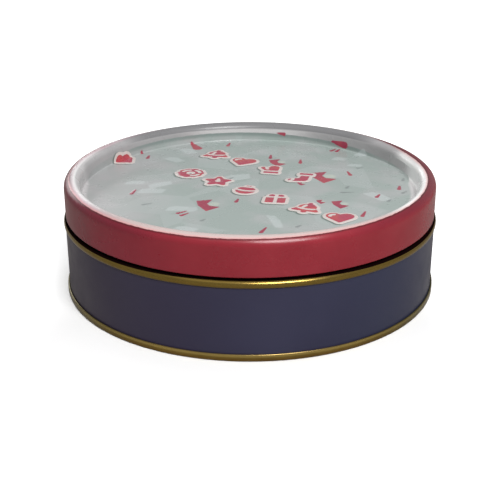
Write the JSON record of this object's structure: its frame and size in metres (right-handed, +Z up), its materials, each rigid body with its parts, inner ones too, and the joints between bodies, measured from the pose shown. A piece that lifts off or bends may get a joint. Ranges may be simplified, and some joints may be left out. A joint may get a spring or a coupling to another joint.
{
  "type": "cookie tin",
  "caption": "Round printed steel tin with a lift-off slip lid, a recessed lid panel, a rolled stop bead and a double-seamed base.",
  "frame": {"origin": "centre of the ring that the closed tin stands on", "axes": "+Z up along the tin's axis towards the lid; +Y towards the side seam, at the back"},
  "size_m": [0.1922, 0.1922, 0.0591],
  "materials": {
    "wall_print": "navy printed tinplate under semi-gloss varnish, gold stop bead, bare steel inside",
    "gold_lacquer": "gold lacquered tinplate",
    "lid_print": "printed tinplate under semi-gloss varnish, red skirt, white rim and mint panel with raised holiday ornaments"
  },
  "bodies": {
    "tin": {"body_wall": "wall_print", "base_end": "gold_lacquer"},
    "lid": {"lid_shell": "lid_print"}
  },
  "joints": [
    {"name": "lid_lift", "type": "slide", "parent": "tin", "child": "lid", "axis": [0, 0, 1], "range_m": [0, 0.08]}
  ]
}
